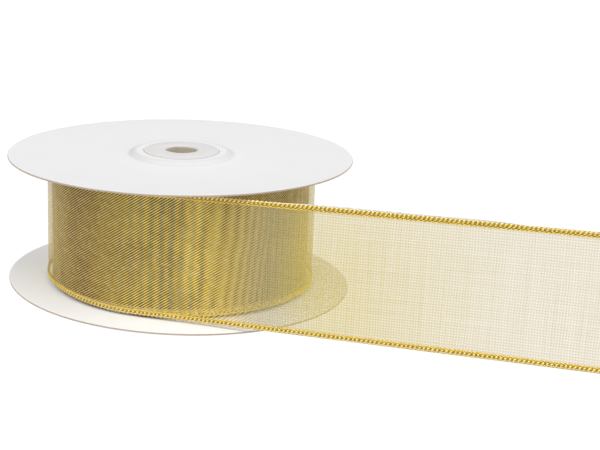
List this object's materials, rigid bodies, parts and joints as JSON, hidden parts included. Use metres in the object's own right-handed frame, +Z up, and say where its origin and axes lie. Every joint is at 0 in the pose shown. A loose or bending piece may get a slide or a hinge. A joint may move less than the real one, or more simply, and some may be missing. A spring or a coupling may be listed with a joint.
{
  "type": "ribbon spool",
  "caption": "Sheer metallic-gold ribbon with stitched wire edges, wound on a white paperboard spool; its loose end turns about the core as the ribbon is paid out.",
  "frame": {"origin": "bottom centre of the whole object's box at rest, on the surface it stands on; the spool's axis passes through x = -0.04375, y = 0", "axes": "+Z up along the spool's axis, +X along the loose tail, away from the spool; the tail lies on the -Y side"},
  "size_m": [0.1925, 0.105, 0.043],
  "materials": {
    "white_board": "smooth white-lined paperboard, eggshell sheen",
    "hub_board": "white face on tan chipboard, raw in the bore",
    "kraft_paper": "spiral-wound kraft, matte",
    "gold_gauze": "sheer metallic organza, see-through plain weave",
    "gold_thread": "metallic overlock stitching, shiny",
    "steel_wire": "fine bright wire, satin"
  },
  "bodies": {
    "spool": {"bottom_flange": "white_board", "top_flange": "white_board", "bottom_hub_plug": "hub_board", "top_hub_plug": "hub_board", "core_tube": "kraft_paper", "wound_ribbon_web": "gold_gauze", "wound_lower_edging": "gold_thread", "wound_upper_edging": "gold_thread"},
    "loose_ribbon": {"outer_turn_web": "gold_gauze", "outer_turn_lower_edging": "gold_thread", "outer_turn_upper_edging": "gold_thread", "tail_web": "gold_gauze", "tail_lower_edging": "gold_thread", "tail_upper_edging": "gold_thread", "lower_edge_wire": "steel_wire", "upper_edge_wire": "steel_wire"}
  },
  "joints": [
    {"name": "unwinding", "type": "hinge", "parent": "spool", "child": "loose_ribbon", "pos_m": [-0.04375, 0, 0.0215], "axis": [0, 0, 1], "continuous": true}
  ]
}
